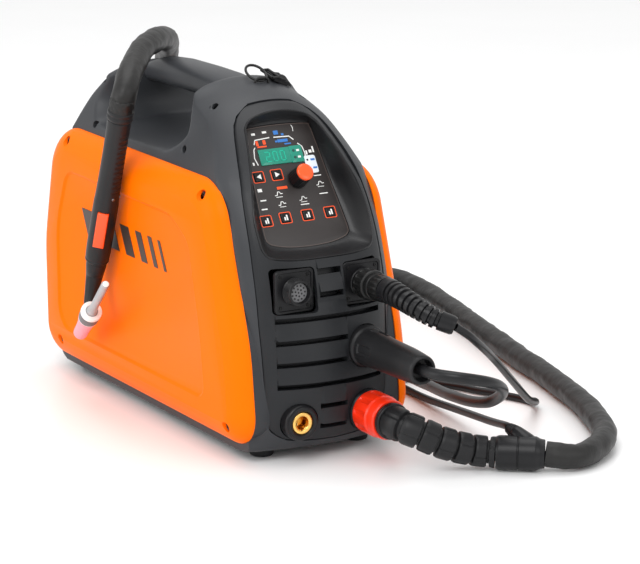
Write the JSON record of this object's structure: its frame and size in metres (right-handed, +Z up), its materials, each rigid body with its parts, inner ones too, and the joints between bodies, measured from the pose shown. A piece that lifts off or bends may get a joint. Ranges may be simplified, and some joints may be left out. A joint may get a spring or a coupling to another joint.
{
  "type": "tig welding machine",
  "caption": "Portable TIG welding machine with carrying handle, side panels, sloped control panel, torch on its hose, control lead and earth return lead with spring clamp.",
  "frame": {"origin": "on the floor under the middle of the machine's base tray", "axes": "+Z up, -Y out of the control panel's face, +X to the right seen from the front"},
  "size_m": [0.5416, 0.7879, 0.3689],
  "materials": {
    "charcoal_plastic": "satin textured",
    "orange_plastic": "semi-gloss",
    "dark_plastic": "satin textured",
    "black_rubber": "matt",
    "panel_label": "satin printed film",
    "display_glass": "glossy tinted",
    "accent_orange": "semi-gloss",
    "gunmetal": "satin",
    "brass": "turned",
    "red_plastic": "semi-gloss",
    "white_ptfe": "satin",
    "pink_ceramic": "unglazed ceramic",
    "aluminium": "satin",
    "hose_sheath": "soft wrinkled sheath",
    "steel": "plated",
    "grey_sheet_steel": "satin",
    "circuit_board": "satin",
    "core_steel": "varnished",
    "copper_winding": "enamelled"
  },
  "bodies": {
    "machine": {"base_tray": "grey_sheet_steel", "brass_socket": "brass", "brass_socket_ring": "dark_plastic", "cable_collector": "dark_plastic", "control_board": "circuit_board", "control_cable": "black_rubber", "control_panel": "panel_label", "control_plug": "black_rubber", "control_socket_open": "black_rubber", "control_socket_used": "black_rubber", "control_strain_relief": "black_rubber", "display_window": "display_glass", "earth_clamp_lower": "steel", "fan_shroud": "dark_plastic", "foot_front_left": "black_rubber", "foot_front_right": "black_rubber", "foot_rear_left": "black_rubber", "foot_rear_right": "black_rubber", "front_fascia": "dark_plastic", "gas_inlet": "brass", "gas_valve": "brass", "heat_sink": "aluminium", "housing_left": "charcoal_plastic", "housing_right": "charcoal_plastic", "mains_gland": "black_rubber", "output_choke": "copper_winding", "panel_bezel": "dark_plastic", "power_board": "circuit_board", "rear_grille": "dark_plastic", "return_cable": "black_rubber", "return_cable_coil": "black_rubber", "return_plug_boot": "black_rubber", "side_panel_left": "orange_plastic", "side_panel_right": "orange_plastic", "torch_cup": "pink_ceramic", "torch_handle": "dark_plastic", "torch_head_ring": "white_ptfe", "torch_hose": "hose_sheath", "torch_hose_collar": "dark_plastic", "torch_neck": "black_rubber", "torch_plug_body": "black_rubber", "torch_socket_ring": "dark_plastic", "torch_strain_relief": "black_rubber", "transformer": "core_steel"},
    "knob": {"control_knob": "black_rubber", "knob_cap": "accent_orange"},
    "arrow_button_left_key": {"arrow_button_left": "black_rubber"},
    "arrow_button_right_key": {"arrow_button_right": "black_rubber"},
    "mode_button_1_key": {"mode_button_1": "black_rubber"},
    "mode_button_2_key": {"mode_button_2": "black_rubber"},
    "mode_button_3_key": {"mode_button_3": "black_rubber"},
    "mode_button_4_key": {"mode_button_4": "black_rubber"},
    "trigger": {"torch_trigger": "accent_orange"},
    "back_cap": {"torch_back_cap": "aluminium"},
    "lock_collar": {"torch_lock_collar": "red_plastic"},
    "plug_ring": {"control_plug_ring": "gunmetal"},
    "rocker": {"mains_switch": "black_rubber"},
    "fan_rotor": {"cooling_fan": "black_rubber"},
    "eye": {"strap_eye": "steel"},
    "clamp_jaw": {"earth_clamp_upper": "steel"}
  },
  "joints": [
    {"name": "knob_turn", "type": "hinge", "parent": "machine", "child": "knob", "pos_m": [0.0062, -0.14618, 0.25351], "axis": [0, -0.8406, 0.5417], "continuous": true},
    {"name": "arrow_button_left_press", "type": "slide", "parent": "machine", "child": "arrow_button_left_key", "axis": [0, 0.8406, -0.5417], "range_m": [0, 0.001], "stiffness_N_per_m": 800},
    {"name": "arrow_button_right_press", "type": "slide", "parent": "machine", "child": "arrow_button_right_key", "axis": [0, 0.8406, -0.5417], "range_m": [0, 0.001], "stiffness_N_per_m": 800},
    {"name": "mode_button_1_press", "type": "slide", "parent": "machine", "child": "mode_button_1_key", "axis": [0, 0.8406, -0.5417], "range_m": [0, 0.001], "stiffness_N_per_m": 800},
    {"name": "mode_button_2_press", "type": "slide", "parent": "machine", "child": "mode_button_2_key", "axis": [0, 0.8406, -0.5417], "range_m": [0, 0.001], "stiffness_N_per_m": 800},
    {"name": "mode_button_3_press", "type": "slide", "parent": "machine", "child": "mode_button_3_key", "axis": [0, 0.8406, -0.5417], "range_m": [0, 0.001], "stiffness_N_per_m": 800},
    {"name": "mode_button_4_press", "type": "slide", "parent": "machine", "child": "mode_button_4_key", "axis": [0, 0.8406, -0.5417], "range_m": [0, 0.001], "stiffness_N_per_m": 800},
    {"name": "trigger_press", "type": "slide", "parent": "machine", "child": "trigger", "axis": [0.5652, 0.7743, 0.2846], "range_m": [0, 0.002], "stiffness_N_per_m": 800},
    {"name": "back_cap_turn", "type": "hinge", "parent": "machine", "child": "back_cap", "pos_m": [-0.122, 0.0413, 0.0963], "axis": [-0.157, -0.7898, 0.5929], "range_deg": [0, 360]},
    {"name": "lock_collar_turn", "type": "hinge", "parent": "machine", "child": "lock_collar", "pos_m": [0.036, -0.25, 0.043], "axis": [0, -1, 0], "range_deg": [0, 360]},
    {"name": "plug_ring_turn", "type": "hinge", "parent": "machine", "child": "plug_ring", "pos_m": [0.0365, -0.2155, 0.165], "axis": [0, -0.9994, 0.0349], "range_deg": [0, 90]},
    {"name": "mains_switch_rock", "type": "hinge", "parent": "machine", "child": "rocker", "pos_m": [0, 0.213, 0.1795], "axis": [1, 0, 0], "range_deg": [-12, 0]},
    {"name": "fan_spin", "type": "hinge", "parent": "machine", "child": "fan_rotor", "pos_m": [0, 0.195, 0.116], "axis": [0, 1, 0], "continuous": true},
    {"name": "strap_eye_swing", "type": "hinge", "parent": "machine", "child": "eye", "pos_m": [0.01, -0.072, 0.336], "axis": [1, 0, 0], "range_deg": [-12, 105]},
    {"name": "clamp_open", "type": "hinge", "parent": "machine", "child": "clamp_jaw", "pos_m": [0.263, 0.27, 0.0596], "axis": [0, -1, 0], "range_deg": [0, 14], "stiffness_Nm_per_rad": 2}
  ]
}
